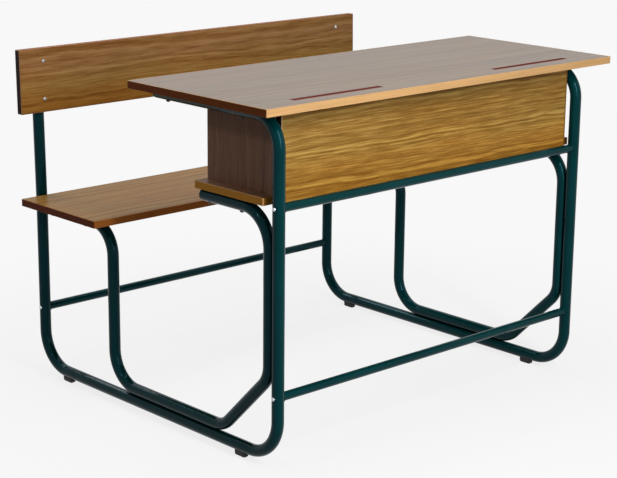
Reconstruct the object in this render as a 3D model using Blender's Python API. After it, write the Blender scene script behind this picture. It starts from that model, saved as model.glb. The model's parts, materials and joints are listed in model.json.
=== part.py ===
"""School desk for two with its bench, carried by two bent-tube side frames.

Metres, +Z up. The boards' long side runs along X and the sitters face -Y, towards
the closed front of the desk. The origin is on the floor under the middle of the
whole piece. Each side frame is two bent tubes welded side by side: the outer tube
is backrest upright, floor rail, front leg and desktop support in one, and the inner
tube is seat support, seat leg, second rail, brace and shelf support in one.
"""
import math

import bmesh
import bpy
from mathutils import Matrix, Vector

# Clearance between pieces that touch, and the overrun of every cut
GAP = 0.0003
OVERRUN = 0.004

# Boards of laminated chipboard with a thin edge band
BOARD_THICK = 0.016
BOARD_CORNER = 0.0025
BAND_THICK = 0.0012
BAND_CHAMFER = 0.0005
BOARD_LENGTH = 1.050
DESK_DEPTH = 0.435
DESK_HEIGHT = 0.760
DESK_OVERHANG = 0.041
SEAT_DEPTH = 0.280
SEAT_HEIGHT = 0.435
SEAT_SETBACK = 0.0065
BACK_INSET = 0.005
BACK_WIDTH = 0.146
BACK_TOP = 0.774
BACK_LEAN = math.radians(1.2)
COMPARTMENT_HEIGHT = 0.1765
SHELF_OVERHANG = 0.0155
SHELF_DEPTH = 0.213
PANEL_CLEAR = 0.0005
FRONT_PANEL_CLEAR = 0.0045
SIDE_PANEL_STEP = 0.008

# Pencil grooves routed along the front of the desktop
GROOVE_LENGTH = 0.243
GROOVE_RADIUS = 0.006
GROOVE_DEPTH = 0.005
GROOVE_FROM_FRONT = 0.048
GROOVE_FROM_END = 0.1085

# Side frames of bent steel tube
FRAME_INSET = 0.069
LEG_SPAN = 0.820
TUBE_DIA = 0.026
TUBE_WALL = 0.0015
LOW_BEND = 0.084
TOP_BEND = 0.066
SEAT_BEND = 0.066
SEAT_FOOT_BEND = 0.076
BRACE_BEND = 0.064
SHELF_BEND = 0.078
KINK_BEND = 0.300
KINK_HEIGHT = 0.404
UPRIGHT_DROP = 0.012
SEAT_LEG_FROM_UPRIGHT = 0.272
BRACE_FROM_LEG = 0.170
DESK_TUBE_INSET = 0.013
SHELF_TUBE_INSET = 0.013

# Cross tubes, each bolted through the legs into a threaded end
BAR_DIA = 0.019
BAR_WALL = 0.0015
BAR_END_DEPTH = 0.024
UPPER_BAR_DROP = 0.0175
LOWER_BAR_HEIGHT = 0.157
REAR_BAR_HEIGHT = 0.161

# Bolts, nuts and screws
BOLT_DIA = 0.005
BOLT_HEAD_DIA = 0.009
BOLT_HEAD_HEIGHT = 0.0022
BOLT_REACH = 0.018
BACK_BOLT_SPACING = 0.086
BACK_BOLT_FROM_TOP = 0.030
NUT_DIA = 0.011
NUT_HEIGHT = 0.0075
SCREW_DIA = 0.004
SCREW_HEAD_DIA = 0.010
SCREW_HEAD_HEIGHT = 0.0034
SCREW_BITE = 0.011
DESK_SCREW_FROM_BEND = 0.045
DESK_SCREW_FROM_END = 0.036
SEAT_SCREW_FROM_BEND = 0.034
SEAT_SCREW_FROM_UPRIGHT = 0.045
SHELF_SCREW_FROM_BEND = 0.006
SHELF_SCREW_FROM_END = 0.019

# Oblong rubber feet with a moulded stem, plastic end caps and corner blocks
FOOT_LENGTH = 0.034
FOOT_WIDTH = 0.017
FOOT_CORNER = 0.006
FOOT_HEIGHT = 0.0095
FOOT_COLLAR = 0.004
FOOT_EDGE = 0.002
FOOT_DRAFT = 0.001
FOOT_STEM_DIA = 0.007
FOOT_STEM_RISE = 0.009
FOOT_FROM_LEG = 0.112
FOOT_FROM_UPRIGHT = 0.092
CAP_DOME = 0.0035
CAP_RIM = 0.001
CAP_STEM = 0.014
BLOCK_SIZE = 0.024
BLOCK_BEVEL = 0.003
BLOCK_FROM_REAR = 0.030

# Rounded profiles as (share of the radius, share of the height), and lengths as shares of a nut
BOLT_DOME_SHARES = ((0, 1), (0.55, 0.9), (0.9, 0.5), (1, 0))
SCREW_DOME_SHARES = ((0, 1), (0.6, 0.9), (1, 0.3), (1, 0))
NUT_DOME_SHARES = ((1, 0), (1, 0.55), (0.8, 0.86), (0.4, 1), (0, 1))
CAP_DOME_SHARES = ((0.75, 0.85), (0, 1))
NUT_HOLE_SHARE = 0.62
BOLT_IN_NUT_SHARE = 0.5

# Faces round each curve
TUBE_SIDES = 16
BORE_SIDES = 8
BEND_STEP = math.radians(13)
BAR_SIDES = 12
SMALL_SIDES = 10
GROOVE_SIDES = 12
HOLE_SIDES = 8
CORNER_STEPS = 3

# Sizes and places worked out from those above
TUBE_R = TUBE_DIA / 2
BAR_R = BAR_DIA / 2
FRAME_X = BOARD_LENGTH / 2 - FRAME_INSET
BACK_LENGTH = BOARD_LENGTH - 2 * BACK_INSET
SHELF_LENGTH = 2 * (FRAME_X + SHELF_OVERHANG)
SHELF_HEIGHT = DESK_HEIGHT - BOARD_THICK - COMPARTMENT_HEIGHT
UPPER_BAR_HEIGHT = SHELF_HEIGHT - UPPER_BAR_DROP
GROOVE_X = BOARD_LENGTH / 2 - GROOVE_FROM_END - GROOVE_LENGTH / 2
BORE_R = TUBE_R - TUBE_WALL
BORE_CLEAR_R = BORE_R * math.cos(math.pi / BORE_SIDES) - GAP
HOLE_EASE_SHARE = 1 / math.cos(math.pi / HOLE_SIDES)
BOLT_HOLE_R = (BOLT_DIA / 2 + GAP) * HOLE_EASE_SHARE
SCREW_HOLE_R = (SCREW_DIA / 2 + GAP) * HOLE_EASE_SHARE
STEM_HOLE_R = (FOOT_STEM_DIA / 2 + GAP) * HOLE_EASE_SHARE
RAIL_Z = FOOT_HEIGHT + TUBE_R
INNER_RAIL_Z = RAIL_Z + TUBE_DIA + GAP
DESK_TUBE_Z = DESK_HEIGHT - BOARD_THICK - GAP - TUBE_R
SEAT_TUBE_Z = SEAT_HEIGHT - BOARD_THICK - GAP - TUBE_R
SHELF_TUBE_Z = SHELF_HEIGHT - BOARD_THICK - GAP - TUBE_R
BACK_TOP_RISE = (BACK_TOP - KINK_HEIGHT) / math.cos(BACK_LEAN)
UPPER_BOLT_RISE = BACK_TOP_RISE - BACK_BOLT_FROM_TOP
LEAN_REACH = UPPER_BOLT_RISE * math.sin(BACK_LEAN)
NUT_REACH = (TUBE_R + GAP + NUT_HEIGHT) * math.cos(BACK_LEAN)
OVERALL_DEPTH = DESK_OVERHANG + LEG_SPAN + LEAN_REACH + NUT_REACH
DESK_FRONT_Y = -OVERALL_DEPTH / 2
DESK_REAR_Y = DESK_FRONT_Y + DESK_DEPTH
LEG_Y = DESK_FRONT_Y + DESK_OVERHANG
UPRIGHT_Y = LEG_Y + LEG_SPAN
INNER_LEG_Y = LEG_Y + TUBE_DIA + GAP
SEAT_LEG_Y = UPRIGHT_Y - SEAT_LEG_FROM_UPRIGHT
BRACE_Y = LEG_Y + BRACE_FROM_LEG
BRACE_TOP_Z = INNER_RAIL_Z + BRACE_Y - INNER_LEG_Y
SEAT_REAR_Y = UPRIGHT_Y - TUBE_R - SEAT_SETBACK
PANEL_FRONT_Y = LEG_Y + TUBE_R + GAP
SHELF_FRONT_Y = PANEL_FRONT_Y + BOARD_THICK + GAP
SHELF_REAR_Y = SHELF_FRONT_Y + SHELF_DEPTH
PANEL_X = FRAME_X - TUBE_R - PANEL_CLEAR
FRONT_PANEL_LENGTH = 2 * (FRAME_X - TUBE_R - FRONT_PANEL_CLEAR)
DESK_TUBE_END_Y = DESK_REAR_Y - DESK_TUBE_INSET
SHELF_TUBE_END_Y = SHELF_REAR_Y - SHELF_TUBE_INSET


def clear_scene():
    """Take away whatever objects the file opened with."""
    for obj in list(bpy.data.objects):
        bpy.data.objects.remove(obj, do_unlink=True)


def make_material(name, colour, roughness, metallic=0.0):
    """One plain Principled material."""
    material = bpy.data.materials.new(name)
    material.use_nodes = True
    shader = material.node_tree.nodes["Principled BSDF"]
    shader.inputs["Base Color"].default_value = (*colour, 1.0)
    shader.inputs["Roughness"].default_value = roughness
    shader.inputs["Metallic"].default_value = metallic
    return material


def make_materials():
    """The finishes of the desk."""
    return {
        "laminate": make_material("laminate", (0.27, 0.19, 0.12), 0.42),
        "panel_laminate": make_material("panel_laminate", (0.33, 0.18, 0.055), 0.45),
        "edge_band": make_material("edge_band", (0.50, 0.23, 0.07), 0.40),
        "paint": make_material("paint", (0.004, 0.045, 0.040), 0.22),
        "zinc": make_material("zinc", (0.62, 0.62, 0.60), 0.32, 1.0),
        "dark_steel": make_material("dark_steel", (0.020, 0.020, 0.022), 0.40),
        "rubber": make_material("rubber", (0.012, 0.012, 0.012), 0.75),
        "plastic": make_material("plastic", (0.015, 0.015, 0.016), 0.45),
    }


def add_empty(name, parent=None, location=(0, 0, 0), rotation=(0, 0, 0)):
    """A bare frame of reference that pieces hang from."""
    empty = bpy.data.objects.new(name, None)
    bpy.context.collection.objects.link(empty)
    empty.parent = parent
    empty.location = location
    empty.rotation_euler = rotation
    return empty


def add_piece(name, bm, material, parent, location=(0, 0, 0), rotation=(0, 0, 0)):
    """Turn a finished bmesh into one named, placed and shaded object."""
    bmesh.ops.recalc_face_normals(bm, faces=bm.faces)
    mesh = bpy.data.meshes.new(name)
    bm.to_mesh(mesh)
    bm.free()
    mesh.materials.append(material)
    mesh.shade_smooth()
    mesh.set_sharp_from_angle(angle=math.radians(35))
    obj = bpy.data.objects.new(name, mesh)
    bpy.context.collection.objects.link(obj)
    obj.parent = parent
    obj.location = location
    obj.rotation_euler = rotation
    return obj


def cut(obj, bm, operation="DIFFERENCE"):
    """Cut a shape, given in the object's own frame, out of it or join it on."""
    bmesh.ops.recalc_face_normals(bm, faces=bm.faces)
    mesh = bpy.data.meshes.new(obj.name + "_cutter")
    bm.to_mesh(mesh)
    bm.free()
    cutter = bpy.data.objects.new(mesh.name, mesh)
    bpy.context.collection.objects.link(cutter)
    cutter.parent = obj
    cutter.hide_render = True
    cutter.display_type = "WIRE"
    modifier = obj.modifiers.new(operation.lower(), "BOOLEAN")
    modifier.operation = operation
    modifier.solver = "EXACT"
    modifier.object = cutter


def turned(profile, sides, closed=False):
    """Revolve (radius, height) points about local Z; an open profile starts and ends on the axis."""
    bm = bmesh.new()
    along = Vector((math.cos(math.pi / sides), math.sin(math.pi / sides), 0))
    verts = [bm.verts.new(along * radius + Vector((0, 0, height))) for radius, height in profile]
    edges = [bm.edges.new(pair) for pair in zip(verts[:-1], verts[1:])]
    if closed:
        edges.append(bm.edges.new((verts[-1], verts[0])))
    bmesh.ops.spin(bm, geom=verts + edges, cent=(0, 0, 0), axis=(0, 0, 1),
                   angle=math.tau, steps=sides, use_merge=True)
    bmesh.ops.remove_doubles(bm, verts=bm.verts, dist=GAP / 100)
    return bm


def rounded(radius, height, shares):
    """Profile points (radius, height) of a rounded end."""
    return [(radius * across, height * along) for across, along in shares]


def add_rod(bm, start, end, radius, sides=HOLE_SIDES):
    """Add a plain round rod between two points."""
    start = Vector(start)
    end = Vector(end)
    turn = (end - start).to_track_quat("Z", "Y").to_matrix().to_4x4()
    place = Matrix.Translation((start + end) / 2) @ turn
    bmesh.ops.create_cone(bm, cap_ends=True, segments=sides, radius1=radius, radius2=radius,
                          depth=(end - start).length, matrix=place)


def add_tube_seat(bm, start, end):
    """Add the room that a main tube takes between two points, with its clearance."""
    add_rod(bm, start, end, TUBE_R + GAP, TUBE_SIDES)


def board_outline(length, depth, corner):
    """Points round a rectangle with round corners, counter-clockwise, middle at the origin."""
    points = []
    for quarter in range(4):
        sign_x = 1 if quarter in (0, 3) else -1
        sign_y = 1 if quarter in (0, 1) else -1
        for step in range(CORNER_STEPS + 1):
            angle = (quarter + step / CORNER_STEPS) * math.pi / 2
            x = sign_x * (length / 2 - corner) + corner * math.cos(angle)
            y = sign_y * (depth / 2 - corner) + corner * math.sin(angle)
            points.append((x, y))
    return points


def add_outline_loops(bm, length, depth, corner, profile):
    """Carry (inset, height) profile points round the outline, one loop of points for each."""
    loops = []
    for inset, height in profile:
        outline = board_outline(length - 2 * inset, depth - 2 * inset, corner - inset)
        loops.append([bm.verts.new((x, y, height)) for x, y in outline])
    return loops


def skin_loops(bm, first, second):
    """Faces between two loops with the same number of points."""
    count = len(first)
    for index in range(count):
        after = (index + 1) % count
        bm.faces.new((first[index], first[after], second[after], second[index]))


def board_core(length, depth):
    """The chipboard core inside its edge band, lower face at zero."""
    bm = bmesh.new()
    inset = BAND_THICK + GAP
    loops = add_outline_loops(bm, length, depth, BOARD_CORNER, [(inset, 0), (inset, BOARD_THICK)])
    skin_loops(bm, *loops)
    for loop in loops:
        bm.faces.new(loop)
    return bm


def edge_band(length, depth):
    """The glued edge band round a board, its outer edges eased."""
    bm = bmesh.new()
    profile = [
        (BAND_CHAMFER, 0),
        (0, BAND_CHAMFER),
        (0, BOARD_THICK - BAND_CHAMFER),
        (BAND_CHAMFER, BOARD_THICK),
        (BAND_THICK, BOARD_THICK),
        (BAND_THICK, 0),
    ]
    loops = add_outline_loops(bm, length, depth, BOARD_CORNER, profile)
    for first, second in zip(loops, loops[1:] + loops[:1]):
        skin_loops(bm, first, second)
    return bm


def plain_board(size_x, size_y, size_z):
    """A square-edged board, middle of its lower face at the origin."""
    bm = bmesh.new()
    place = Matrix.Translation((0, 0, size_z / 2)) @ Matrix.Diagonal((size_x, size_y, size_z, 1))
    bmesh.ops.create_cube(bm, size=1, matrix=place)
    return bm


def bent_path(corners):
    """Stations (point, direction) along a bent tube's axis in the YZ plane.

    corners holds (y, z, bend radius); the first and the last are the tube's ends.
    """
    points = [Vector((0, y, z)) for y, z, _ in corners]
    stations = [(points[0], (points[1] - points[0]).normalized())]
    for index in range(1, len(corners) - 1):
        arrive = (points[index] - points[index - 1]).normalized()
        leave = (points[index + 1] - points[index]).normalized()
        radius = corners[index][2]
        turn = arrive.angle(leave)
        start = points[index] - arrive * radius * math.tan(turn / 2)
        inward = (leave - arrive * arrive.dot(leave)).normalized()
        steps = max(1, round(turn / BEND_STEP))
        for step in range(steps + 1):
            angle = turn * step / steps
            point = start + arrive * radius * math.sin(angle) + inward * radius * (1 - math.cos(angle))
            stations.append((point, arrive * math.cos(angle) + inward * math.sin(angle)))
    stations.append((points[-1], (points[-1] - points[-2]).normalized()))
    return stations


def sweep_rings(bm, stations, radius, sides):
    """A round skin along the stations; gives back its first and last ring."""
    rings = []
    for point, along in stations:
        across = Vector((0, -along.z, along.y))
        ring = []
        for side in range(sides):
            angle = math.tau * side / sides
            outward = Vector((math.cos(angle), 0, 0)) + across * math.sin(angle)
            ring.append(bm.verts.new(point + radius * outward))
        rings.append(ring)
    for first, second in zip(rings[:-1], rings[1:]):
        skin_loops(bm, first, second)
    return rings[0], rings[-1]


def ring_edges(bm, ring):
    """The edges between neighbours of a ring."""
    return [bm.edges.get((ring[index - 1], ring[index])) for index in range(len(ring))]


def bent_tube(corners):
    """A hollow tube with open ends, bent along the corners."""
    bm = bmesh.new()
    stations = bent_path(corners)
    outer_ends = sweep_rings(bm, stations, TUBE_R, TUBE_SIDES)
    bore_ends = sweep_rings(bm, stations, BORE_R, BORE_SIDES)
    for outer, bore in zip(outer_ends, bore_ends):
        bmesh.ops.triangle_fill(bm, use_beauty=True, edges=ring_edges(bm, outer) + ring_edges(bm, bore))
    return bm


def outer_tube_corners():
    """Backrest upright, floor rail, front leg and desktop support."""
    upright_top = BACK_TOP_RISE - UPRIGHT_DROP
    return [
        (UPRIGHT_Y + upright_top * math.sin(BACK_LEAN), KINK_HEIGHT + upright_top * math.cos(BACK_LEAN), 0),
        (UPRIGHT_Y, KINK_HEIGHT, KINK_BEND),
        (UPRIGHT_Y, RAIL_Z, LOW_BEND),
        (LEG_Y, RAIL_Z, LOW_BEND),
        (LEG_Y, DESK_TUBE_Z, TOP_BEND),
        (DESK_TUBE_END_Y, DESK_TUBE_Z, 0),
    ]


def inner_tube_corners():
    """Seat support, seat leg, second rail, brace, inner leg and shelf support."""
    return [
        (UPRIGHT_Y, SEAT_TUBE_Z, 0),
        (SEAT_LEG_Y, SEAT_TUBE_Z, SEAT_BEND),
        (SEAT_LEG_Y, INNER_RAIL_Z, SEAT_FOOT_BEND),
        (BRACE_Y, INNER_RAIL_Z, BRACE_BEND),
        (INNER_LEG_Y, BRACE_TOP_Z, BRACE_BEND),
        (INNER_LEG_Y, SHELF_TUBE_Z, SHELF_BEND),
        (SHELF_TUBE_END_Y, SHELF_TUBE_Z, 0),
    ]


def desk_screw_places():
    """Y of the two screws up through each desktop support."""
    return (LEG_Y + TOP_BEND + DESK_SCREW_FROM_BEND, DESK_TUBE_END_Y - DESK_SCREW_FROM_END)


def seat_screw_places():
    """Y of the two screws up through each seat support."""
    return (SEAT_LEG_Y + SEAT_BEND + SEAT_SCREW_FROM_BEND, UPRIGHT_Y - SEAT_SCREW_FROM_UPRIGHT)


def shelf_screw_places():
    """Y of the two screws up through each shelf support."""
    return (INNER_LEG_Y + SHELF_BEND + SHELF_SCREW_FROM_BEND, SHELF_TUBE_END_Y - SHELF_SCREW_FROM_END)


def foot_places():
    """Y of the front and the rear foot."""
    return {"front": LEG_Y + FOOT_FROM_LEG, "rear": UPRIGHT_Y - FOOT_FROM_UPRIGHT}


def back_bolt_rises():
    """Heights of the backrest bolts up the leaning part of the upright."""
    return {"upper": UPPER_BOLT_RISE, "lower": UPPER_BOLT_RISE - BACK_BOLT_SPACING}


def bar_places():
    """Y and Z of the three cross tubes."""
    return {
        "upper_front": (LEG_Y, UPPER_BAR_HEIGHT),
        "lower_front": (LEG_Y, LOWER_BAR_HEIGHT),
        "rear": (UPRIGHT_Y, REAR_BAR_HEIGHT),
    }


def add_screw_holes(bm, places, tube_z):
    """Upright holes through a horizontal tube."""
    reach = TUBE_R + OVERRUN
    for y in places:
        add_rod(bm, (0, y, tube_z - reach), (0, y, tube_z + reach), SCREW_HOLE_R)


def outer_tube_holes():
    """Everything drilled in the outer tube: screws, cross-tube bolts, backrest bolts and foot stems."""
    bm = bmesh.new()
    reach = TUBE_R + OVERRUN
    add_screw_holes(bm, desk_screw_places(), DESK_TUBE_Z)
    for y, z in bar_places().values():
        add_rod(bm, (-reach, y, z), (reach, y, z), BOLT_HOLE_R)
    lean = Matrix.Rotation(-BACK_LEAN, 3, "X")
    for rise in back_bolt_rises().values():
        middle = Vector((0, UPRIGHT_Y, KINK_HEIGHT)) + lean @ Vector((0, 0, rise))
        across = lean @ Vector((0, reach, 0))
        add_rod(bm, middle - across, middle + across, BOLT_HOLE_R)
    for y in foot_places().values():
        add_rod(bm, (0, y, RAIL_Z - reach), (0, y, RAIL_Z), STEM_HOLE_R)
    return bm


def make_outer_tube(side, materials, parent):
    """The long outer tube with its drilled holes."""
    tube = add_piece("outer_tube_" + side, bent_tube(outer_tube_corners()), materials["paint"], parent)
    cut(tube, outer_tube_holes())


def make_inner_tube(side, materials, parent):
    """The inner tube, its rear end coped to seat on the upright."""
    tube = add_piece("inner_tube_" + side, bent_tube(inner_tube_corners()), materials["paint"], parent)
    holes = bmesh.new()
    add_screw_holes(holes, seat_screw_places(), SEAT_TUBE_Z)
    add_screw_holes(holes, shelf_screw_places(), SHELF_TUBE_Z)
    cut(tube, holes)
    cope = bmesh.new()
    add_tube_seat(cope, (0, UPRIGHT_Y, SEAT_TUBE_Z - TUBE_DIA), (0, UPRIGHT_Y, SEAT_TUBE_Z + TUBE_DIA))
    cut(tube, cope)


def cross_bar():
    """A cross tube along local Z, with a threaded plug welded in each end."""
    half = FRAME_X - OVERRUN
    inner = FRAME_X - TUBE_R - BAR_END_DEPTH
    bore = BAR_R - BAR_WALL
    return turned([
        (BOLT_HOLE_R, -half), (BAR_R, -half), (BAR_R, half), (BOLT_HOLE_R, half),
        (BOLT_HOLE_R, inner), (bore, inner), (bore, -inner), (BOLT_HOLE_R, -inner),
    ], BAR_SIDES, closed=True)


def make_cross_bars(materials, parent):
    """The three cross tubes, each end coped to the leg it meets."""
    for name, (y, z) in bar_places().items():
        bar = add_piece(name + "_cross_tube", cross_bar(), materials["paint"], parent,
                        (0, y, z), (0, math.pi / 2, 0))
        copes = bmesh.new()
        for end in (-FRAME_X, FRAME_X):
            add_tube_seat(copes, (-BAR_DIA, 0, end), (BAR_DIA, 0, end))
        cut(bar, copes)


def pan_bolt(shank):
    """A bolt with a domed head under local Z zero and its shank along +Z."""
    head = rounded(BOLT_HEAD_DIA / 2, -BOLT_HEAD_HEIGHT, BOLT_DOME_SHARES)
    core = BOLT_DIA / 2
    return turned(head + [(core, 0), (core, shank), (0, shank)], SMALL_SIDES)


def make_bar_bolts(side, materials, parent):
    """Bolts from the outside of each leg into the cross tubes."""
    outward = -1 if side == "left" else 1
    shank = 2 * (TUBE_R + GAP) + BOLT_REACH
    for name, (y, z) in bar_places().items():
        add_piece(name + "_bolt_" + side, pan_bolt(shank), materials["zinc"], parent,
                  (outward * (TUBE_R + GAP), y, z), (0, -outward * math.pi / 2, 0))


def cap_nut():
    """A domed nut, seat at local Z zero, with a blind hole for the bolt's end."""
    hole = (BOLT_DIA / 2 + GAP) / math.cos(math.pi / SMALL_SIDES)
    depth = NUT_HEIGHT * NUT_HOLE_SHARE
    dome = rounded(NUT_DIA / 2, NUT_HEIGHT, NUT_DOME_SHARES)
    return turned([(0, depth), (hole, depth), (hole, 0)] + dome, SMALL_SIDES)


def make_back_fixings(side, materials, parent):
    """Backrest bolts from the front, with domed nuts behind the upright."""
    front = -(TUBE_R + GAP + BOARD_THICK + GAP)
    shank = -front + TUBE_R + GAP + NUT_HEIGHT * BOLT_IN_NUT_SHARE
    for name, rise in back_bolt_rises().items():
        add_piece("backrest_bolt_" + name + "_" + side, pan_bolt(shank), materials["zinc"], parent,
                  (0, front, rise), (-math.pi / 2, 0, 0))
        add_piece("backrest_nut_" + name + "_" + side, cap_nut(), materials["zinc"], parent,
                  (0, TUBE_R + GAP, rise), (-math.pi / 2, 0, 0))


def wood_screw():
    """A pan-head screw, head under local Z zero, up through a tube into a board."""
    head = rounded(SCREW_HEAD_DIA / 2, -SCREW_HEAD_HEIGHT, SCREW_DOME_SHARES)
    shank = TUBE_DIA + 2 * GAP + SCREW_BITE
    core = SCREW_DIA / 2
    return turned(head + [(core, 0), (core, shank - core), (0, shank)], SMALL_SIDES)


def make_screws(board, places, tube_z, side, materials, parent):
    """One screw at each place, from the front of the desk to the back."""
    for order, y in zip(("front", "rear"), places):
        add_piece(board + "_screw_" + order + "_" + side, wood_screw(), materials["dark_steel"], parent,
                  (0, y, tube_z - TUBE_R - GAP))


def tube_cap():
    """A domed end cap, its rim at local Z zero and its stem along -Z in the bore."""
    stem = [(0, -CAP_STEM), (BORE_CLEAR_R - CAP_RIM, -CAP_STEM), (BORE_CLEAR_R, CAP_RIM - CAP_STEM)]
    rim = [(BORE_CLEAR_R, 0), (TUBE_R, 0), (TUBE_R, CAP_RIM)]
    return turned(stem + rim + rounded(TUBE_R, CAP_DOME, CAP_DOME_SHARES), BAR_SIDES)


def make_tube_caps(side, materials, frame, back):
    """Caps on the free ends of the desktop support, the shelf support and the upright."""
    plastic = materials["plastic"]
    backwards = (-math.pi / 2, 0, 0)
    add_piece("desk_tube_cap_" + side, tube_cap(), plastic, frame,
              (0, DESK_TUBE_END_Y + GAP, DESK_TUBE_Z), backwards)
    add_piece("shelf_tube_cap_" + side, tube_cap(), plastic, frame,
              (0, SHELF_TUBE_END_Y + GAP, SHELF_TUBE_Z), backwards)
    add_piece("upright_cap_" + side, tube_cap(), plastic, back,
              (0, 0, BACK_TOP_RISE - UPRIGHT_DROP + GAP))


def foot_body():
    """The oblong pad of a foot, its lower edge eased, floor at local Z zero."""
    bm = bmesh.new()
    profile = [(FOOT_DRAFT + FOOT_EDGE, 0), (FOOT_DRAFT, FOOT_EDGE), (0, FOOT_HEIGHT + FOOT_COLLAR)]
    floor, eased, top = add_outline_loops(bm, FOOT_WIDTH, FOOT_LENGTH, FOOT_CORNER, profile)
    skin_loops(bm, floor, eased)
    skin_loops(bm, eased, top)
    bm.faces.new(floor)
    bm.faces.new(top)
    return bm


def make_feet(side, materials, parent):
    """Two feet, each saddled to the rail with its stem through the rail's lower wall."""
    for name, y in foot_places().items():
        foot = add_piece("foot_" + name + "_" + side, foot_body(), materials["rubber"], parent, (0, y, 0))
        saddle = bmesh.new()
        add_tube_seat(saddle, (0, -FOOT_LENGTH, RAIL_Z), (0, FOOT_LENGTH, RAIL_Z))
        cut(foot, saddle)
        stem = bmesh.new()
        add_rod(stem, (0, 0, FOOT_HEIGHT / 2), (0, 0, FOOT_HEIGHT + FOOT_STEM_RISE), FOOT_STEM_DIA / 2)
        cut(foot, stem, "UNION")


def screw_pilots(places, side_x, middle_y):
    """Blind pilot holes for both sides' screws, in a board's own frame."""
    bm = bmesh.new()
    for x in (-side_x, side_x):
        for y in places:
            add_rod(bm, (x, y - middle_y, -OVERRUN), (x, y - middle_y, SCREW_BITE + 2 * GAP), SCREW_HOLE_R)
    return bm


def add_groove(bm, x, y):
    """A long round-ended groove cutter just under the desktop's upper face."""
    half = GROOVE_LENGTH / 2 - GROOVE_RADIUS
    along_x = Matrix.Rotation(math.pi / 2, 4, "Y")
    ball = bmesh.ops.create_uvsphere(bm, u_segments=GROOVE_SIDES, v_segments=GROOVE_SIDES // 2,
                                     radius=GROOVE_RADIUS, matrix=along_x)
    height = BOARD_THICK - GROOVE_DEPTH + GROOVE_RADIUS
    for vert in ball["verts"]:
        stretch = half if vert.co.x > GAP else -half if vert.co.x < -GAP else 0
        vert.co += Vector((x + stretch, y, height))


def make_desktop(materials, parent):
    """The desktop with two pencil grooves near its front edge."""
    middle = (DESK_FRONT_Y + DESK_REAR_Y) / 2
    place = (0, middle, DESK_HEIGHT - BOARD_THICK)
    desktop = add_piece("desktop", board_core(BOARD_LENGTH, DESK_DEPTH), materials["laminate"], parent,
                        place)
    cutters = screw_pilots(desk_screw_places(), FRAME_X, middle)
    for x in (-GROOVE_X, GROOVE_X):
        add_groove(cutters, x, GROOVE_FROM_FRONT - DESK_DEPTH / 2)
    cut(desktop, cutters)
    add_piece("desktop_edge_band", edge_band(BOARD_LENGTH, DESK_DEPTH), materials["edge_band"], parent,
              place)


def make_seat(materials, parent):
    """The bench seat on its two supports."""
    middle = SEAT_REAR_Y - SEAT_DEPTH / 2
    place = (0, middle, SEAT_HEIGHT - BOARD_THICK)
    seat = add_piece("seat", board_core(BOARD_LENGTH, SEAT_DEPTH), materials["laminate"], parent, place)
    cut(seat, screw_pilots(seat_screw_places(), FRAME_X, middle))
    add_piece("seat_edge_band", edge_band(BOARD_LENGTH, SEAT_DEPTH), materials["edge_band"], parent, place)


def make_shelf(materials, parent):
    """The floor of the book compartment."""
    middle = (SHELF_FRONT_Y + SHELF_REAR_Y) / 2
    place = (0, middle, SHELF_HEIGHT - BOARD_THICK)
    shelf = add_piece("book_shelf", board_core(SHELF_LENGTH, SHELF_DEPTH), materials["laminate"],
                      parent, place)
    cut(shelf, screw_pilots(shelf_screw_places(), FRAME_X, middle))
    add_piece("book_shelf_edge_band", edge_band(SHELF_LENGTH, SHELF_DEPTH), materials["edge_band"],
              parent, place)


def make_backrest(materials, parent):
    """The backrest board, bolted to the front of the leaning uprights."""
    upright = (math.pi / 2, 0, 0)
    place = (0, -TUBE_R - GAP, BACK_TOP_RISE - BACK_WIDTH / 2)
    backrest = add_piece("backrest", board_core(BACK_LENGTH, BACK_WIDTH), materials["laminate"],
                         parent, place, upright)
    holes = bmesh.new()
    for x in (-FRAME_X, FRAME_X):
        for rise in back_bolt_rises().values():
            y = rise - place[2]
            add_rod(holes, (x, y, -OVERRUN), (x, y, BOARD_THICK + OVERRUN), BOLT_HOLE_R)
    cut(backrest, holes)
    add_piece("backrest_edge_band", edge_band(BACK_LENGTH, BACK_WIDTH), materials["edge_band"],
              parent, place, upright)


def make_panels(materials, parent):
    """The front and side panels that close the book compartment."""
    top = DESK_HEIGHT - BOARD_THICK - GAP
    bottom = SHELF_HEIGHT - BOARD_THICK
    add_piece("front_panel", plain_board(FRONT_PANEL_LENGTH, BOARD_THICK, top - bottom),
              materials["panel_laminate"], parent, (0, PANEL_FRONT_Y + BOARD_THICK / 2, bottom))
    front = SHELF_FRONT_Y
    rear = SHELF_REAR_Y - SIDE_PANEL_STEP
    floor = SHELF_HEIGHT + GAP
    for side, outward in (("left", -1), ("right", 1)):
        add_piece("side_panel_" + side, plain_board(BOARD_THICK, rear - front, top - floor),
                  materials["panel_laminate"], parent,
                  (outward * (PANEL_X - BOARD_THICK / 2), (front + rear) / 2, floor))


def corner_block():
    """A moulded block that screws two panels to the desktop, its outer faces flat."""
    bm = plain_board(BLOCK_SIZE, BLOCK_SIZE, BLOCK_SIZE)
    lower = [edge for edge in bm.edges if all(vert.co.z < BLOCK_SIZE / 2 for vert in edge.verts)]
    bmesh.ops.bevel(bm, geom=lower, offset=BLOCK_BEVEL, segments=1, affect="EDGES")
    return bm


def make_corner_blocks(materials, parent):
    """Blocks in the top corners of the book compartment."""
    reach = BLOCK_SIZE / 2 + GAP
    bottom = DESK_HEIGHT - BOARD_THICK - GAP - BLOCK_SIZE
    places = {
        "front": SHELF_FRONT_Y + reach,
        "rear": SHELF_REAR_Y - SIDE_PANEL_STEP - BLOCK_FROM_REAR - BLOCK_SIZE / 2,
    }
    for side, outward in (("left", -1), ("right", 1)):
        for name, y in places.items():
            add_piece("corner_block_" + name + "_" + side, corner_block(), materials["plastic"], parent,
                      (outward * (PANEL_X - BOARD_THICK - reach), y, bottom))


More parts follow.
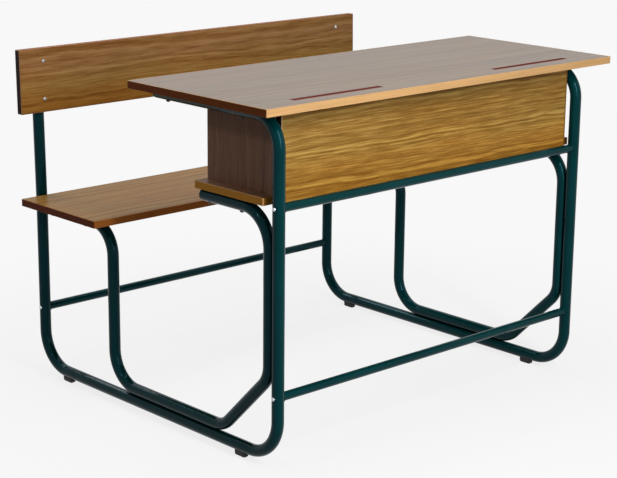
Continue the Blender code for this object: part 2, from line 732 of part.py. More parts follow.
def make_side_frame(side, outward, materials, parent):
    """Everything that belongs to one side frame."""
    frame = add_empty("frame_" + side, parent, (outward * FRAME_X, 0, 0))
    back = add_empty("upright_axis_" + side, frame, (0, UPRIGHT_Y, KINK_HEIGHT), (-BACK_LEAN, 0, 0))
    make_outer_tube(side, materials, frame)
    make_inner_tube(side, materials, frame)
    make_bar_bolts(side, materials, frame)
    make_back_fixings(side, materials, back)
    make_screws("desktop", desk_screw_places(), DESK_TUBE_Z, side, materials, frame)
    make_screws("seat", seat_screw_places(), SEAT_TUBE_Z, side, materials, frame)
    make_screws("book_shelf", shelf_screw_places(), SHELF_TUBE_Z, side, materials, frame)
    make_tube_caps(side, materials, frame, back)
    make_feet(side, materials, frame)


def build():
    """Make the whole desk."""
    clear_scene()
    materials = make_materials()
    desk = add_empty("school_desk")
    for side, outward in (("left", -1), ("right", 1)):
        make_side_frame(side, outward, materials, desk)
    make_cross_bars(materials, desk)
    make_desktop(materials, desk)
    make_seat(materials, desk)
    make_shelf(materials, desk)
    back_plane = add_empty("back_plane", desk, (0, UPRIGHT_Y, KINK_HEIGHT), (-BACK_LEAN, 0, 0))
    make_backrest(materials, back_plane)
    make_panels(materials, desk)
    make_corner_blocks(materials, desk)


build()
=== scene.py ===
"""Looks of the school desk: finishes, fine meshes, light and camera."""
import json
import math

import bpy
from mathutils import Matrix, Vector


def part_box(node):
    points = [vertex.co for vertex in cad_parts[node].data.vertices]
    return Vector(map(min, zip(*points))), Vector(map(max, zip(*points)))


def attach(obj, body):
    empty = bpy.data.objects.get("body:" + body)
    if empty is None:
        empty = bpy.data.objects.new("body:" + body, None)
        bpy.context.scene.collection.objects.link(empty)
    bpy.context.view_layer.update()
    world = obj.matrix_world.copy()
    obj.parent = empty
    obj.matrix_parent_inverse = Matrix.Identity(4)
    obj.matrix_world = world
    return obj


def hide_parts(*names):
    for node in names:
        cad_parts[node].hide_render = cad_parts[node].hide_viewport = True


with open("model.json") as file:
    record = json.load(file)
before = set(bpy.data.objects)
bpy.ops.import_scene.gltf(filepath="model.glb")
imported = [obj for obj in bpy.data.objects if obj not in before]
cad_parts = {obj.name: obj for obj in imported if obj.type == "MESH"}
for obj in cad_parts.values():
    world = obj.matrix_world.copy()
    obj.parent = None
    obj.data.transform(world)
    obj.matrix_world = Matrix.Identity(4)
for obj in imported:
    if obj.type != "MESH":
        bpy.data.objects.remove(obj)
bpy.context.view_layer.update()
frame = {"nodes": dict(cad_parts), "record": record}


def box_of(node):
    """A node's lowest and highest corner as (x, y, z), to a hundredth of a millimetre."""
    return [tuple(round(value, PLACE_DIGITS) for value in corner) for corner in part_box(node)]


def middle_of(node):
    """The middle of a node's box, to a hundredth of a millimetre."""
    return tuple(round((low + high) / 2, PLACE_DIGITS) for low, high in zip(*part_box(node)))


# Axes by number, and the digits that count in a place in metres
X, Y, Z = 0, 1, 2
PLACE_DIGITS = 5

# The photograph's frame and the camera that was fitted to its edges
PHOTO_WIDTH = 617
SENSOR = 36.0
FOCAL_PIXELS = 1719.463
CAMERA_PLACE = Vector((-2.642593, -2.835726, 1.348383))
CAMERA_YAW = math.radians(-42.981)
CAMERA_PITCH = math.radians(-14.724)
CAMERA_ROLL = math.radians(0.567)

# Soft boxes: name, place, the point that each faces, width and height in metres, and watts
LAMPS = [
    ("soft_key", (-0.60, -2.90, 1.10), (-0.40, -0.40, 0.70), 1.0, 1.2, 17.0),
    ("strip_key", (-0.456, -2.15, 1.75), (-0.456, -0.40, 0.85), 0.12, 1.2, 32.0),
    ("overhead", (0.20, 0.20, 3.10), (0.0, 0.0, 0.5), 2.4, 2.0, 21.0),
    ("side_light", (-2.80, -0.30, 2.65), (-0.40, -0.30, 0.60), 0.3, 0.3, 8.0),
    ("rear_fill", (-0.30, 2.60, 2.60), (0.0, 0.30, 0.60), 1.4, 1.0, 24.0),
]

# The pale studio as it is seen: backdrop, and the floor's own glow and the grey that takes the shadow
PAPER_WHITE = 0.939
FLOOR_GLOW = 0.81
FLOOR_GREY = (0.17, 0.17, 0.17, 1.0)

# What the floor and the world give to the object
BOUNCE_GREY = (0.12, 0.12, 0.12, 1.0)
WORLD_WHITE = (1.0, 1.0, 1.0, 1.0)
WORLD_LEVEL = 0.06

# The floor's half width and drop, and how far from the middle it fades to the backdrop, in metres
FLOOR_HALF = 8.0
FLOOR_DROP = 0.0002
FLOOR_FADE = (0.55, 1.5)

# Linear colours of the wood prints, from dark to light
TOP_WOOD = ((0.120, 0.072, 0.040), (0.205, 0.135, 0.083), (0.275, 0.192, 0.125))
SEAT_WOOD = ((0.280, 0.125, 0.018), (0.430, 0.213, 0.042), (0.550, 0.305, 0.085))
BACK_WOOD = ((0.240, 0.103, 0.024), (0.372, 0.193, 0.056), (0.500, 0.288, 0.103))
PANEL_WOOD = ((0.230, 0.104, 0.017), (0.365, 0.190, 0.038), (0.640, 0.385, 0.098))
# The side print is darker than the others, partly its own tone and partly painted shade where these
# boards lie out of the light
SIDE_WOOD_AND_SHADE = ((0.160, 0.072, 0.042), (0.265, 0.134, 0.082), (0.355, 0.193, 0.124))

# Linear colours of edges, paint and its reflections, and small pieces. The darker colours for the bands'
# short ends and the panel's ends are painted shade on faces turned away from the light, and the pale
# arris colour is a painted highlight
GROOVE_BROWN = (0.130, 0.014, 0.007)
# Painted shade on the front panel's ends, which face away from the light
PANEL_END_SHADE = (0.045, 0.018, 0.008)
# A painted highlight along the rounded arrises
ARRIS_HIGHLIGHT = (0.560, 0.370, 0.230)
BAND_TAN = (0.760, 0.445, 0.190)
BAND_TAN_END_SHADE = (0.235, 0.056, 0.010)
BAND_SHELF = (0.850, 0.375, 0.055)
BAND_BROWN = (0.330, 0.095, 0.018)
BAND_BROWN_END_SHADE = (0.022, 0.005, 0.002)
BAND_SEAT = (0.470, 0.150, 0.028)
BAND_SEAT_END_SHADE = (0.180, 0.033, 0.006)
PAINT = (0.0003, 0.041, 0.043)
PAINT_GLOSS = (0.30, 0.75, 1.0, 1.0)
ZINC = (0.52, 0.54, 0.57)
DARK_STEEL = (0.014, 0.014, 0.016)
RUBBER = (0.008, 0.008, 0.008)
PLASTIC = (0.010, 0.010, 0.011)

# A print's noises: cells per metre along and across the grain, shift of the seed, and detail
TWIST = (9.0, 24.0, 3.1, 2.0)
FIBRES = (16.0, 330.0, 7.7, 2.0)
TONES = (2.2, 14.0, 5.3, 1.0)
PORES = (45.0, 900.0, 1.9, 1.0)
DRIFT = (2.6, 17.0, 12.4, 2.0)

# How much each of them counts, where a pore begins and where the three colours stand
TWIST_WEIGHT = 1.3
TONE_WEIGHT = 0.16
PORE_WEIGHT = -0.14
RING_AND_FIBRE_WEIGHT = 0.84
PORE_RANGE = (0.62, 0.78)
WOOD_PLACES = (0.36, 0.49, 0.65)

# A print's common roughness, how far it drifts each way, and the pores' depth against the fibres'
SATIN = 0.36
SATIN_DRIFT = 0.05
PORE_DEPTH = 0.6

# An edge band's lines: cells per metre along and across them, and their shades as factors
BAND_CELLS = 12.0
LINE_CELLS = 500.0
LINE_SHADES = (0.78, 1.23)

# The zinc's roughness, from its smoothest to its dullest
ZINC_ROUGHNESS = (0.18, 0.38)

# Tints that drift slowly over a print, as factors of its colour
CALM_TINTS = [(0.30, (1.05, 0.97, 0.88)), (0.50, (1.0, 1.0, 1.0)), (0.70, (0.95, 1.0, 1.06))]

# Tints from the lower edge of a standing board to its upper edge
BACK_RISE = [
    (0.0, (1.00, 0.82, 0.42)), (0.4, (1.0, 1.0, 0.86)),
    (0.75, (1.0, 0.97, 1.22)), (1.0, (0.96, 0.90, 0.95)),
]
PANEL_RISE = [(0.0, (1.02, 0.90, 0.62)), (0.4, (1.0, 1.0, 0.95)), (1.0, (0.90, 0.93, 1.05))]

# How squarely a face looks along X to count as an end that takes painted shade, and how far from square
# an arris is to take a painted highlight
PANEL_END_SHADE_FACING = (0.5, 0.8)
BAND_END_SHADE_FACING = (0.60, 0.80)
ARRIS_HIGHLIGHT_FACING = (0.93, 0.80)

# Distances from the front panel's ends between which its arrises fade in: a painted highlight at the left
# end and painted shade at the right
ARRIS_HIGHLIGHT_FADE = (0.0028, 0.0020)
ARRIS_SHADE_FADE = (0.0040, 0.0025)

# Where a noise turns from a finish's darker shade to its lighter one
CLOUD_SPAN = (0.3, 0.7)

# The desktop's pencil grooves, and how far below the top their colour fades in
GROOVE_FROM_FRONT = 0.048
GROOVE_FROM_END = 0.1085
GROOVE_LENGTH = 0.243
GROOVE_HALF = 0.006
GROOVE_RIM = 0.0035
GROOVE_FADE = (0.010, 0.007)
GROOVE_MATT = 0.9

# The side frames' sizes that no box of the frame gives, in metres
JOINT_GAP = 0.0003
CROSS_TUBE_R = 0.0095
SUPPORT_INSET = 0.013
SEAT_LEG_FROM_UPRIGHT = 0.272
BRACE_FROM_LEG = 0.170
UPRIGHT_TOP_Z = 0.762
UPRIGHT_LEAN = 0.0075
KINK_Z = 0.404
KINK_BEND = 0.300
LOW_BEND = 0.084
TOP_BEND = 0.066
SEAT_BEND = 0.066
SEAT_FOOT_BEND = 0.076
BRACE_BEND = 0.064
SHELF_BEND = 0.078

# Fineness of the meshes made here
TUBE_SIDES = 48
BEND_STEP = math.radians(3)
SHARP_ANGLE = math.radians(50)
SADDLE_STEPS = 64
BEAD_SIDES = 10

# The weld beads' radius, and their ripples as (share of it, turn per step, times the seed)
BEAD_R = 0.0013
BEAD_RIPPLES = ((0.16, 1.9, 1), (0.08, 0.7, 2))
SEAT_WELD_SEED = 5

# Places taken from the frame's boxes
DESK_LOW, DESK_HIGH = box_of("desktop_edge_band")
SEAT_LOW, _ = box_of("seat_edge_band")
BACK_LOW, BACK_HIGH = box_of("backrest_edge_band")
SHELF_LOW, SHELF_HIGH = box_of("book_shelf_edge_band")
_, PANEL_HIGH = box_of("front_panel")
OUTER_LOW, OUTER_HIGH = box_of("outer_tube_left")
INNER_LOW, _ = box_of("inner_tube_left")

# Places worked out from these
GROOVE_X = DESK_HIGH[X] - GROOVE_FROM_END - GROOVE_LENGTH / 2
GROOVE_Y = DESK_LOW[Y] + GROOVE_FROM_FRONT
BACK_SPAN = (BACK_LOW[Z], BACK_HIGH[Z])
PANEL_SPAN = (SHELF_HIGH[Z], DESK_LOW[Z])
PANEL_HALF = PANEL_HIGH[X]
TUBE_R = (OUTER_HIGH[X] - OUTER_LOW[X]) / 2
FRAME_X = -(OUTER_LOW[X] + OUTER_HIGH[X]) / 2
UPRIGHT_Y = middle_of("rear_cross_tube")[Y]
RAIL_Z = OUTER_LOW[Z] + TUBE_R
LEG_Y = OUTER_LOW[Y] + TUBE_R
DESK_TUBE_Z = DESK_LOW[Z] - JOINT_GAP - TUBE_R
DESK_TUBE_END_Y = DESK_HIGH[Y] - SUPPORT_INSET
SEAT_TUBE_Z = SEAT_LOW[Z] - JOINT_GAP - TUBE_R
SEAT_LEG_Y = UPRIGHT_Y - SEAT_LEG_FROM_UPRIGHT
INNER_RAIL_Z = INNER_LOW[Z] + TUBE_R
INNER_LEG_Y = INNER_LOW[Y] + TUBE_R
BRACE_Y = LEG_Y + BRACE_FROM_LEG
BRACE_TOP_Z = INNER_RAIL_Z + BRACE_Y - INNER_LEG_Y
SHELF_TUBE_Z = SHELF_LOW[Z] - JOINT_GAP - TUBE_R
SHELF_TUBE_END_Y = SHELF_HIGH[Y] - SUPPORT_INSET

# The side frames' tubes as (y, z, bend radius) along their axes
OUTER_TUBE = [
    (UPRIGHT_Y + UPRIGHT_LEAN, UPRIGHT_TOP_Z, 0), (UPRIGHT_Y, KINK_Z, KINK_BEND),
    (UPRIGHT_Y, RAIL_Z, LOW_BEND), (LEG_Y, RAIL_Z, LOW_BEND), (LEG_Y, DESK_TUBE_Z, TOP_BEND),
    (DESK_TUBE_END_Y, DESK_TUBE_Z, 0),
]
INNER_TUBE = [
    (UPRIGHT_Y, SEAT_TUBE_Z, 0), (SEAT_LEG_Y, SEAT_TUBE_Z, SEAT_BEND),
    (SEAT_LEG_Y, INNER_RAIL_Z, SEAT_FOOT_BEND), (BRACE_Y, INNER_RAIL_Z, BRACE_BEND),
    (INNER_LEG_Y, BRACE_TOP_Z, BRACE_BEND), (INNER_LEG_Y, SHELF_TUBE_Z, SHELF_BEND),
    (SHELF_TUBE_END_Y, SHELF_TUBE_Z, 0),
]
CROSS_TUBES = ("upper_front", "lower_front", "rear")


class Nodes:
    """A node tree, with short ways to add and join nodes."""

    def __init__(self, tree):
        self.tree = tree

    def add(self, kind, inputs=None, **settings):
        """Add a node, set its settings, and fill its inputs with values or with other nodes' outputs."""
        node = self.tree.nodes.new("ShaderNode" + kind)
        for key, value in settings.items():
            setattr(node, key, value)
        for key, value in (inputs or {}).items():
            self.feed(node.inputs[key], value)
        return node

    def feed(self, socket, value):
        """Set a socket to a value or join an output to it."""
        if isinstance(value, bpy.types.NodeSocket):
            self.tree.links.new(value, socket)
        else:
            socket.default_value = value

    def math(self, operation, first, second=0.0, third=0.0):
        """A Math node's output."""
        return self.add("Math", {0: first, 1: second, 2: third}, operation=operation).outputs[0]

    def coords(self):
        """The part's own coordinates."""
        return self.add("TexCoord").outputs["Object"]

    def seen_directly(self):
        """One for what is seen straight, in a reflection or through glass, else nought."""
        path = self.add("LightPath").outputs
        seen = self.math("MAXIMUM", path["Is Camera Ray"], path["Is Glossy Ray"])
        return self.math("MAXIMUM", seen, path["Is Transmission Ray"])


class Graph(Nodes):
    """A material's node tree, round its Principled shader."""

    def __init__(self, name):
        self.material = bpy.data.materials.new(name)
        self.material.use_nodes = True
        super().__init__(self.material.node_tree)
        self.shader = self.tree.nodes["Principled BSDF"]

    def noise(self, vector, scale=1.0, detail=2.0):
        """A noise texture's grey output."""
        return self.add("TexNoise", {"Vector": vector, "Scale": scale, "Detail": detail}).outputs[0]

    def ramp(self, factor, stops):
        """A colour ramp through (place, colour) stops."""
        node = self.add("ValToRGB", {"Fac": factor})
        elements = node.color_ramp.elements
        while len(elements) < len(stops):
            elements.new(1.0)
        for element, (place, colour) in zip(elements, stops):
            element.position = place
            element.color = (*colour, 1.0)
        return node.outputs["Color"]

    def between(self, noise, low, high):
        """A noise of nought to one turned into a value from low to high."""
        return self.math("MULTIPLY_ADD", noise, high - low, low)

    def clouded(self, noise, colour, darker, lighter):
        """A colour that drifts with a noise between a darker and a lighter shade of itself."""
        shades = [tuple(factor * value for value in colour) for factor in (darker, lighter)]
        return self.ramp(noise, list(zip(CLOUD_SPAN, shades)))

    def mix(self, factor, first, second):
        """A blend of two colours, each a tuple or an output."""
        node = self.add("Mix", {0: factor}, data_type="RGBA")
        for index, colour in ((6, first), (7, second)):
            self.feed(node.inputs[index], (*colour, 1.0) if isinstance(colour, tuple) else colour)
        return node.outputs[2]

    def step(self, value, low, high):
        """Nought up to low, one from high on; high may be the smaller of the two."""
        return self.add("MapRange", {"Value": value, "From Min": low, "From Max": high}).outputs[0]

    def times(self, first, second):
        """Two colours multiplied."""
        return self.add("VectorMath", {0: first, 1: second}, operation="MULTIPLY").outputs[0]

    def facing(self):
        """How squarely a face looks along X, Y and Z, as three outputs."""
        normal = self.add("NewGeometry").outputs["True Normal"]
        size = self.add("VectorMath", {0: normal}, operation="ABSOLUTE").outputs[0]
        return self.add("SeparateXYZ", {0: size}).outputs

    def place(self):
        """The part's own coordinates as three outputs."""
        return self.add("SeparateXYZ", {0: self.coords()}).outputs

    def vector(self, x, y, z):
        """A vector made of three numbers or outputs."""
        return self.add("CombineXYZ", {0: x, 1: y, 2: z}).outputs[0]

    def bump(self, height, strength, distance):
        """Send a height to the shader's normal."""
        node = self.add("Bump", {"Height": height, "Strength": strength, "Distance": distance})
        self.feed(self.shader.inputs["Normal"], node.outputs["Normal"])

    def set(self, **values):
        """Set the shader's own sockets; an underscore stands for a space."""
        for key, value in values.items():
            self.feed(self.shader.inputs[key.replace("_", " ")], value)


def print_colour(g, grain, across, colours, seed, bend=(1.3, 6.0), figure=9.0, rings=105.0, fine=0.26):
    """Wood print: growth rings bent by a slow figure, fine fibres, short pores and a drifting tint.

    grain and across are the axes along and across the grain. bend gives the figure's cells per metre
    along and across it, figure how far it bends the rings, rings the rings' cells per metre, and fine
    how much the fibres count. Gives back the colour, the fibres and the pores.
    """
    axes = g.place()
    along = axes[grain]
    cross = axes[across]

    def cells(length, width, shift, detail):
        """A noise of so many cells per metre along and across the grain."""
        stretched = g.vector(g.math("MULTIPLY", along, length), g.math("MULTIPLY", cross, width),
                             seed + shift)
        return g.noise(stretched, detail=detail)

    slow = cells(*bend, shift=0.0, detail=1.5)
    field = g.math("MULTIPLY_ADD", slow, figure, g.math("MULTIPLY", cells(*TWIST), TWIST_WEIGHT))
    field = g.math("MULTIPLY_ADD", cross, rings, field)
    ring = g.add("TexNoise", {"W": field, "Scale": 1.0, "Detail": 3.0, "Roughness": 0.6},
                 noise_dimensions="1D").outputs[0]
    fibre = cells(*FIBRES)
    pore = g.step(cells(*PORES), *PORE_RANGE)
    mixed = g.math("MULTIPLY_ADD", fibre, fine, g.math("MULTIPLY", cells(*TONES), TONE_WEIGHT))
    mixed = g.math("MULTIPLY_ADD", ring, RING_AND_FIBRE_WEIGHT - fine, mixed)
    mixed = g.math("MULTIPLY_ADD", pore, PORE_WEIGHT, mixed)
    colour = g.ramp(mixed, list(zip(WOOD_PLACES, colours)))
    tint = g.ramp(cells(*DRIFT), CALM_TINTS)
    return g.times(colour, tint), fibre, pore


def finish_print(g, colour, fibre, pore, roughness=SATIN, sheen=0.5, matt=None):
    """Set a print's colour, its satin sheen and its faint relief.

    matt is the least roughness at each place, where some of the sheet is bare.
    """
    satin = g.between(fibre, roughness - SATIN_DRIFT, roughness + SATIN_DRIFT)
    if matt is not None:
        satin = g.math("MAXIMUM", satin, matt)
    g.set(Base_Color=colour, Specular_IOR_Level=sheen, Roughness=satin)
    g.bump(g.math("MULTIPLY_ADD", pore, -PORE_DEPTH, fibre), strength=0.12, distance=0.0003)
    return g.material


def laminate(name, *layout, sheen, roughness=SATIN, **figure):
    """A plain sheet of wood print."""
    g = Graph(name)
    return finish_print(g, *print_colour(g, *layout, **figure), roughness, sheen)


def rise_tint(g, colour, span, stops):
    """A colour tinted by height, from the lower to the upper edge of a standing board."""
    return g.times(colour, g.ramp(g.step(g.place()[Z], *span), stops))


def back_laminate():
    """The backrest's print, browner towards its lower edge."""
    g = Graph("back_laminate")
    colour, fibre, pore = print_colour(g, X, Z, BACK_WOOD, seed=11.0, bend=(1.7, 6.0), figure=3.2,
                                       rings=66.0, fine=0.36)
    colour = rise_tint(g, colour, BACK_SPAN, BACK_RISE)
    return finish_print(g, colour, fibre, pore, roughness=0.40, sheen=0.08)


def desktop_laminate():
    """The desktop's print, with the grooves in bare, matt reddish brown."""
    g = Graph("top_laminate")
    colour, fibre, pore = print_colour(g, X, Y, TOP_WOOD, seed=2.0, bend=(1.1, 7.0), figure=7.0,
                                       rings=80.0, fine=0.36)
    axes = g.place()
    above = g.step(axes[Z], *(DESK_HIGH[Z] - depth for depth in GROOVE_FADE))
    off_line = g.math("ABSOLUTE", g.math("SUBTRACT", axes[Y], GROOVE_Y))
    near = g.step(off_line, GROOVE_HALF + GROOVE_RIM, GROOVE_HALF + GROOVE_RIM / 2)
    reach = GROOVE_LENGTH / 2 + GROOVE_RIM
    off_end = g.math("ABSOLUTE", g.math("SUBTRACT", g.math("ABSOLUTE", axes[X]), GROOVE_X))
    along = g.step(off_end, reach, reach - GROOVE_RIM / 2)
    groove = g.math("MULTIPLY", above, g.math("MULTIPLY", near, along))
    colour = g.mix(groove, colour, GROOVE_BROWN)
    return finish_print(g, colour, fibre, pore, matt=g.math("MULTIPLY", groove, GROOVE_MATT))


def panel_laminate():
    """The front panel's print, with painted shade on its ends and right arris, and a painted highlight on
    its left arris.
    """
    g = Graph("panel_laminate")
    colour, fibre, pore = print_colour(g, X, Z, PANEL_WOOD, seed=23.0, bend=(1.8, 6.0), figure=5.5,
                                       rings=120.0, fine=0.42)
    colour = rise_tint(g, colour, PANEL_SPAN, PANEL_RISE)
    across = g.place()[X]
    # Painted highlight: a pale strip along the left end's arris
    pale = g.step(across, *(inset - PANEL_HALF for inset in ARRIS_HIGHLIGHT_FADE))
    colour = g.mix(pale, colour, ARRIS_HIGHLIGHT)
    # Painted shade: a dark strip along the right end's arris
    dark = g.step(across, *(PANEL_HALF - inset for inset in ARRIS_SHADE_FADE))
    colour = g.mix(dark, colour, PANEL_WOOD[0])
    # Painted shade on the ends, which face along X
    colour = g.mix(g.step(g.facing()[X], *PANEL_END_SHADE_FACING), colour, PANEL_END_SHADE)
    return finish_print(g, colour, fibre, pore, roughness=0.42, sheen=0.08)


def edge_banding(name, long_side, short_end_shade, arris, seed):
    """Glued edge band with faint lines; painted shade on its short ends, its arrises in a colour given as
    a painted highlight.
    """
    g = Graph(name)
    axes = g.place()
    lengthwise = [g.math("MULTIPLY", axes[axis], BAND_CELLS) for axis in (X, Y)]
    streak = g.noise(g.vector(*lengthwise, g.math("MULTIPLY_ADD", axes[Z], LINE_CELLS, seed)))
    facing = g.facing()
    squarest = g.math("MAXIMUM", g.math("MAXIMUM", facing[X], facing[Y]), facing[Z])
    # Painted shade: the short ends, which face along X, get the darker colour
    colour = g.mix(g.step(facing[X], *BAND_END_SHADE_FACING), long_side, short_end_shade)
    # Painted highlight: the arrises, which face no axis squarely, get the arris colour
    colour = g.mix(g.step(squarest, *ARRIS_HIGHLIGHT_FACING), colour, arris)
    lined = g.add("VectorMath", {0: colour, "Scale": g.between(streak, *LINE_SHADES)},
                  operation="SCALE").outputs[0]
    g.set(Base_Color=lined, Roughness=0.42, Specular_IOR_Level=0.05)
    g.bump(streak, strength=0.05, distance=0.0003)
    return g.material


def gloss_paint():
    """Glossy dark green powder coat with a faint orange peel."""
    g = Graph("green_paint")
    coords = g.coords()
    peel = g.noise(coords, scale=650.0, detail=1.0)
    patch = g.noise(coords, scale=14.0, detail=3.0)
    g.set(Base_Color=g.clouded(patch, PAINT, darker=0.86, lighter=1.12), Roughness=0.12,
          Specular_IOR_Level=0.14, Specular_Tint=PAINT_GLOSS)
    g.bump(peel, strength=0.012, distance=0.0004)
    return g.material


def zinc_plate():
    """Bright zinc plate, slightly cloudy."""
    g = Graph("zinc")
    cloud = g.noise(g.coords(), scale=900.0)
    g.set(Base_Color=g.clouded(cloud, ZINC, darker=0.8, lighter=1.0), Metallic=1.0,
          Roughness=g.between(cloud, *ZINC_ROUGHNESS))
    return g.material


def moulded(name, colour, roughness, grain):
    """Matt rubber, plastic or blackened steel with a fine skin of so many grains per metre."""
    g = Graph(name)
    skin = g.noise(g.coords(), scale=grain)
    g.set(Base_Color=g.clouded(skin, colour, darker=0.8, lighter=1.3), Roughness=roughness)
    g.bump(skin, strength=0.25, distance=0.0002)
    return g.material


paint = gloss_paint()

# The finish of each material slot, and of the nodes that have one of their own
SLOT_FINISHES = {
    "top_laminate": desktop_laminate(),
    "back_laminate": back_laminate(),
    "panel_laminate": panel_laminate(),
    # The side panels' print, darkened partly as painted shade
    "side_laminate": laminate("side_laminate", Z, Y, SIDE_WOOD_AND_SHADE, seed=31.0, bend=(1.0, 5.0), figure=6.0,
                              rings=45.0, fine=0.16, roughness=0.50, sheen=0.15),
    "edge_band": edge_banding("edge_band", BAND_TAN, BAND_TAN_END_SHADE, BAND_TAN, seed=1.0),
    "dark_edge_band": edge_banding("dark_edge_band", BAND_BROWN, BAND_BROWN_END_SHADE, ARRIS_HIGHLIGHT, seed=2.0),
    "green_paint": paint,
    "zinc": zinc_plate(),
    "dark_steel": moulded("dark_steel", DARK_STEEL, roughness=0.40, grain=900.0),
    "black_rubber": moulded("black_rubber", RUBBER, roughness=0.75, grain=700.0),
    "black_plastic": moulded("black_plastic", PLASTIC, roughness=0.45, grain=900.0),
}
NODE_FINISHES = {
    "seat": laminate("seat_laminate", X, Y, SEAT_WOOD, seed=8.0, bend=(1.1, 7.0), figure=6.0,
                     rings=70.0, fine=0.34, sheen=0.06),
    "seat_edge_band": edge_banding("seat_edge_band", BAND_SEAT, BAND_SEAT_END_SHADE, BAND_SEAT, seed=4.0),
    # The shelf takes the same darker print, partly painted shade
    "book_shelf": laminate("shelf_laminate", X, Y, SIDE_WOOD_AND_SHADE, seed=37.0, sheen=0.15),
    "book_shelf_edge_band": edge_banding("shelf_edge_band", BAND_SHELF, BAND_SHELF, ARRIS_HIGHLIGHT, seed=3.0),
}


def dress_nodes():
    """Give each node its one finish."""
    for row in frame["record"]["subparts"]:
        materials = frame["nodes"][row["node"]].data.materials
        materials.clear()
        materials.append(NODE_FINISHES.get(row["node"], SLOT_FINISHES[row["material_slot"]]))


def painted_piece(name, points, faces, *replaced):
    """A smooth-shaded painted piece that rides on the frame, in place of the nodes named."""
    mesh = bpy.data.meshes.new(name)
    mesh.from_pydata(points, [], faces)
    mesh.materials.append(paint)
    mesh.shade_smooth()
    mesh.set_sharp_from_angle(angle=SHARP_ANGLE)
    piece = bpy.data.objects.new(name, mesh)
    bpy.context.scene.collection.objects.link(piece)
    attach(piece, "root")
    if replaced:
        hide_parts(*replaced)


def bent_stations(corners):
    """Points and directions along a tube's axis through (y, z, bend radius) corners."""
    points = [Vector((0, y, z)) for y, z, _ in corners]
    stations = [(points[0], (points[1] - points[0]).normalized())]
    for before, point, after, (_, _, radius) in zip(points, points[1:], points[2:], corners[1:]):
        arrive = (point - before).normalized()
        leave = (after - point).normalized()
        turn = arrive.angle(leave)
        start = point - arrive * radius * math.tan(turn / 2)
        inward = (leave - arrive * arrive.dot(leave)).normalized()
        steps = max(2, math.ceil(turn / BEND_STEP))
        for step in range(steps + 1):
            angle = turn * step / steps
            place = start + arrive * radius * math.sin(angle) + inward * radius * (1 - math.cos(angle))
            stations.append((place, arrive * math.cos(angle) + inward * math.sin(angle)))
    stations.append((points[-1], (points[-1] - points[-2]).normalized()))
    return stations


def smooth_tube(corners, x, coped):
    """The points and faces of a finely divided round tube in a plane of constant X, closed at both ends.

    A coped tube's first end is cut to the round of the upright that it meets.
    """
    points = []
    faces = []
    stations = bent_stations(corners)
    for row, (place, along) in enumerate(stations):
        across = Vector((0, -along.z, along.y))
        here = row * TUBE_SIDES
        last = here - TUBE_SIDES
        for index in range(TUBE_SIDES):
            angle = math.tau * index / TUBE_SIDES
            spot = place + TUBE_R * (Vector((math.cos(angle), 0, 0)) + across * math.sin(angle))
            points.append((x + spot.x, spot.y, spot.z))
            if row:
                beside = (index + 1) % TUBE_SIDES
                faces.append((last + index, last + beside, here + beside, here + index))
    if coped:
        for index, (px, _, pz) in enumerate(points[:TUBE_SIDES]):
            reach = math.sqrt((TUBE_R + JOINT_GAP) ** 2 - (px - x) ** 2)
            points[index] = (px, UPRIGHT_Y - reach, pz)
    end = (len(stations) - 1) * TUBE_SIDES
    faces.append(tuple(reversed(range(TUBE_SIDES))))
    faces.append(tuple(range(end, end + TUBE_SIDES)))
    return points, faces


def saddle_path(centre, axis, radius, outward):
    """Where a round tube along X or Y meets an upright main tube, as a closed path round the former.

    centre is on the upright tube's axis, and outward is the side that the other tube comes from.
    """
    path = []
    for step in range(SADDLE_STEPS):
        angle = math.tau * step / SADDLE_STEPS
        sideways = radius * math.cos(angle)
        reach = outward * math.sqrt((TUBE_R + JOINT_GAP) ** 2 - sideways ** 2)
        rise = radius * math.sin(angle)
        offset = (reach, sideways, rise) if axis == X else (sideways, reach, rise)
        path.append(Vector(centre) + Vector(offset))
    return path


def weld_bead(path, seed):
    """The points and faces of a slightly uneven bead of weld along a closed path."""
    points = []
    faces = []
    count = len(path)
    for row, place in enumerate(path):
        along = (path[(row + 1) % count] - path[row - 1]).normalized()
        first = along.orthogonal().normalized()
        second = along.cross(first)
        waves = [share * math.sin(row * turn + times * seed) for share, turn, times in BEAD_RIPPLES]
        ripple = 1 + sum(waves)
        here = row * BEAD_SIDES
        after = ((row + 1) % count) * BEAD_SIDES
        for index in range(BEAD_SIDES):
            angle = math.tau * index / BEAD_SIDES
            spot = place + BEAD_R * ripple * (first * math.cos(angle) + second * math.sin(angle))
            points.append(tuple(spot))
            beside = (index + 1) % BEAD_SIDES
            faces.append((here + index, here + beside, after + beside, after + index))
    return points, faces


def make_frames():
    """Smooth tubes in place of the faceted ones, and the weld beads at the tubes' ends."""
    for side, x, inward in (("left", -FRAME_X, 1), ("right", FRAME_X, -1)):
        for kind, corners in (("outer", OUTER_TUBE), ("inner", INNER_TUBE)):
            node = f"{kind}_tube_{side}"
            painted_piece(f"{node}_smooth", *smooth_tube(corners, x, kind == "inner"), node)
        for index, name in enumerate(CROSS_TUBES):
            _, y, z = middle_of(f"{name}_cross_tube")
            path = saddle_path((x, y, z), X, CROSS_TUBE_R + JOINT_GAP, inward)
            painted_piece(f"weld_{name}_{side}", *weld_bead(path, index + inward))
        path = saddle_path((x, UPRIGHT_Y, SEAT_TUBE_Z), Y, TUBE_R, -1)
        painted_piece(f"weld_seat_tube_{side}", *weld_bead(path, SEAT_WELD_SEED + inward))


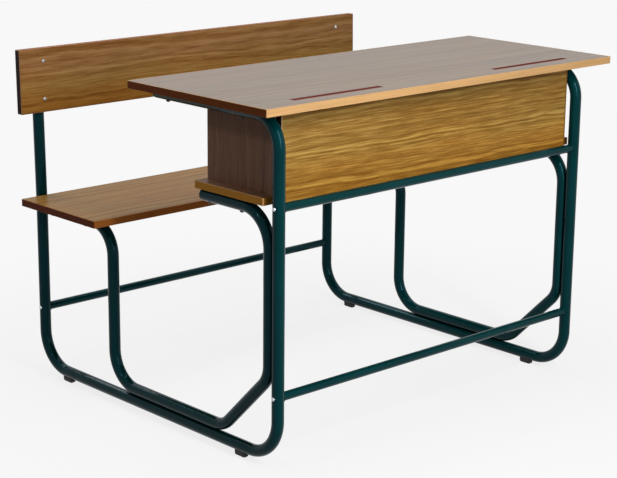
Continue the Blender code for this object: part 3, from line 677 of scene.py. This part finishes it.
def stage_material():
    """A pale floor that keeps the shadow and fades to the white backdrop."""
    material = bpy.data.materials.new("studio_floor")
    material.use_nodes = True
    material.node_tree.nodes.clear()
    g = Nodes(material.node_tree)
    diffuse = g.add("BsdfDiffuse", {"Color": FLOOR_GREY}).outputs[0]
    glow = g.add("Emission", {"Strength": FLOOR_GLOW}).outputs[0]
    white = g.add("Emission", {"Strength": PAPER_WHITE}).outputs[0]
    bounce = g.add("BsdfDiffuse", {"Color": BOUNCE_GREY}).outputs[0]
    lit = g.add("AddShader", {0: diffuse, 1: glow}).outputs[0]
    away = g.add("VectorMath", {0: g.coords()}, operation="LENGTH").outputs["Value"]
    near, far = FLOOR_FADE
    fade = g.add("MapRange", {"Value": away, "From Min": near, "From Max": far},
                 interpolation_type="SMOOTHSTEP").outputs[0]
    seen = g.add("MixShader", {0: fade, 1: lit, 2: white}).outputs[0]
    chosen = g.add("MixShader", {0: g.seen_directly(), 1: bounce, 2: seen}).outputs[0]
    g.add("OutputMaterial", {"Surface": chosen})
    return material


def make_floor():
    """A wide floor just under the feet."""
    half = FLOOR_HALF
    corners = [(-half, -half, 0), (half, -half, 0), (half, half, 0), (-half, half, 0)]
    mesh = bpy.data.meshes.new("studio_floor")
    mesh.from_pydata(corners, [], [(0, 1, 2, 3)])
    mesh.materials.append(stage_material())
    floor = bpy.data.objects.new("studio_floor", mesh)
    floor.location.z = -FLOOR_DROP
    bpy.context.scene.collection.objects.link(floor)


def make_world():
    """Soft even light, white where the camera or a reflection looks past the object."""
    world = bpy.data.worlds.new("studio")
    bpy.context.scene.world = world
    world.use_nodes = True
    g = Nodes(world.node_tree)
    levels = {"Value": g.seen_directly(), "To Min": WORLD_LEVEL, "To Max": PAPER_WHITE}
    background = world.node_tree.nodes["Background"]
    g.feed(background.inputs["Color"], WORLD_WHITE)
    g.feed(background.inputs["Strength"], g.add("MapRange", levels).outputs[0])


def add_lamp(name, place, target, width, height, power):
    """A soft box aimed at a point."""
    data = bpy.data.lights.new(name, "AREA")
    data.shape = "RECTANGLE"
    data.size = width
    data.size_y = height
    data.energy = power
    lamp = bpy.data.objects.new(name, data)
    lamp.location = place
    lamp.rotation_euler = (Vector(target) - Vector(place)).to_track_quat("-Z", "Y").to_euler()
    bpy.context.scene.collection.objects.link(lamp)


def make_camera():
    """The photograph's view."""
    ahead = Vector((-math.sin(CAMERA_YAW) * math.cos(CAMERA_PITCH),
                    math.cos(CAMERA_YAW) * math.cos(CAMERA_PITCH), math.sin(CAMERA_PITCH)))
    level = ahead.cross(Vector((0, 0, 1))).normalized()
    above = level.cross(ahead)
    right = math.cos(CAMERA_ROLL) * level + math.sin(CAMERA_ROLL) * above
    up = math.cos(CAMERA_ROLL) * above - math.sin(CAMERA_ROLL) * level
    data = bpy.data.cameras.new("photo_camera")
    data.sensor_fit = "HORIZONTAL"
    data.sensor_width = SENSOR
    data.lens = FOCAL_PIXELS / PHOTO_WIDTH * SENSOR
    camera = bpy.data.objects.new("photo_camera", data)
    turn = Matrix((right, up, -ahead)).transposed()
    camera.matrix_world = Matrix.Translation(CAMERA_PLACE) @ turn.to_4x4()
    bpy.context.scene.collection.objects.link(camera)
    bpy.context.scene.camera = camera


dress_nodes()
make_frames()
make_floor()
make_world()
for lamp in LAMPS:
    add_lamp(*lamp)
make_camera()
bpy.context.scene.view_settings.view_transform = "Standard"
